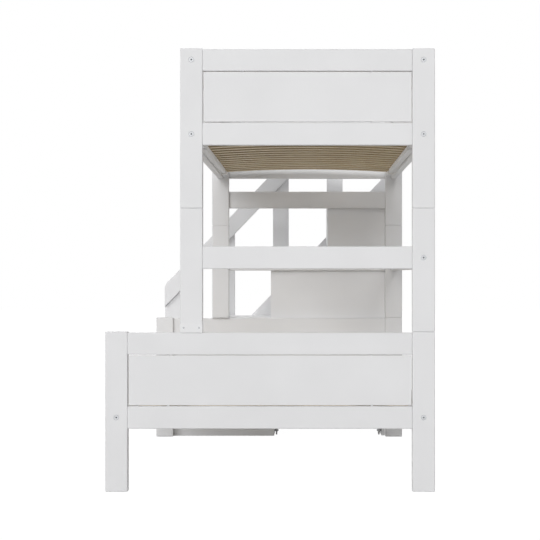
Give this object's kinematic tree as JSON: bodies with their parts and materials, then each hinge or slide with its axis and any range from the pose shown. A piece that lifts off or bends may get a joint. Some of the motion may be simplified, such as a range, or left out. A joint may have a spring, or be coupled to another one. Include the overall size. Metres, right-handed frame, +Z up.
{
  "type": "bunk bed with storage stairs",
  "caption": "Stackable bunk bed with a wide lower bed, slatted beds, guard rails, and a storage staircase with cubbies, handrail and a rolling drawer at its far end.",
  "frame": {"origin": "centre of the bounding box, on the floor", "axes": "+Z up; +Y along the bed from its foot end towards the stairs; +X across the bed towards the wall side"},
  "size_m": [1.32, 2.5918, 1.775],
  "materials": {
    "white_lacquer": "satin",
    "slat_wood": "satin",
    "steel": "satin",
    "painted_steel": "satin",
    "wheel_plastic": "matte",
    "drawer_base": "satin"
  },
  "bodies": {
    "bed_frame": {"lower_near_posts": "white_lacquer", "lower_far_posts": "white_lacquer", "mid_near_posts": "white_lacquer", "mid_far_posts": "white_lacquer", "upper_near_posts": "white_lacquer", "upper_far_posts": "white_lacquer", "lower_near_rails": "white_lacquer", "lower_near_panel": "white_lacquer", "lower_far_rails": "white_lacquer", "lower_far_panel": "white_lacquer", "upper_near_rails": "white_lacquer", "upper_near_panel": "white_lacquer", "upper_far_rails": "white_lacquer", "upper_far_panel": "white_lacquer", "mid_near_rail": "white_lacquer", "mid_far_rail": "white_lacquer", "stair_support_rail": "white_lacquer", "entry_stile": "white_lacquer", "lower_side_rail_room": "white_lacquer", "lower_side_rail_wall": "white_lacquer", "wall_back_rail": "white_lacquer", "upper_side_rail_room": "white_lacquer", "upper_side_rail_wall": "white_lacquer", "guard_rail_room": "white_lacquer", "guard_rail_wall": "white_lacquer", "guard_panels": "white_lacquer", "panel_dowels": "white_lacquer", "lower_ledgers": "white_lacquer", "lower_slats": "slat_wood", "upper_ledgers": "white_lacquer", "upper_slats": "slat_wood", "frame_bolts": "steel", "barrel_nuts": "steel", "stacking_pins": "steel", "post_shoes": "painted_steel", "shoe_screws": "steel", "stair_back_panel": "white_lacquer", "stair_riser": "white_lacquer", "stair_uprights": "white_lacquer", "treads": "white_lacquer", "drawer_bay_top": "white_lacquer", "cubby_shelves": "white_lacquer", "first_step_front": "white_lacquer", "balustrade_foot_post": "white_lacquer", "balustrade_posts": "white_lacquer", "balustrade_wall_post": "white_lacquer", "stair_stringer": "white_lacquer", "handrail": "white_lacquer", "landing_rails": "white_lacquer"},
    "drawer": {"drawer_front": "white_lacquer", "drawer_sides": "white_lacquer", "drawer_back": "white_lacquer", "drawer_bottom": "drawer_base", "wheel_forks": "steel", "wheel_axles": "steel"},
    "wheel_back_room": {"wheel_back_room": "wheel_plastic"},
    "wheel_front_room": {"wheel_front_room": "wheel_plastic"},
    "wheel_back_wall": {"wheel_back_wall": "wheel_plastic"},
    "wheel_front_wall": {"wheel_front_wall": "wheel_plastic"}
  },
  "joints": [
    {"name": "drawer_slide", "type": "slide", "parent": "bed_frame", "child": "drawer", "axis": [0, 1, 0], "range_m": [0, 0.35]},
    {"name": "wheel_back_room_spin", "type": "hinge", "parent": "drawer", "child": "wheel_back_room", "pos_m": [-0.016, 0.85985, 0.0243], "axis": [1, 0, 0], "continuous": true},
    {"name": "wheel_front_room_spin", "type": "hinge", "parent": "drawer", "child": "wheel_front_room", "pos_m": [-0.016, 1.16385, 0.0243], "axis": [1, 0, 0], "continuous": true},
    {"name": "wheel_back_wall_spin", "type": "hinge", "parent": "drawer", "child": "wheel_back_wall", "pos_m": [0.54, 0.85985, 0.0243], "axis": [1, 0, 0], "continuous": true},
    {"name": "wheel_front_wall_spin", "type": "hinge", "parent": "drawer", "child": "wheel_front_wall", "pos_m": [0.54, 1.16385, 0.0243], "axis": [1, 0, 0], "continuous": true}
  ],
  "couplings": [
    {"joint": "wheel_back_room_spin", "follows": "drawer_slide", "rad_per_m": -41.667},
    {"joint": "wheel_front_room_spin", "follows": "drawer_slide", "rad_per_m": -41.667},
    {"joint": "wheel_back_wall_spin", "follows": "drawer_slide", "rad_per_m": -41.667},
    {"joint": "wheel_front_wall_spin", "follows": "drawer_slide", "rad_per_m": -41.667}
  ]
}
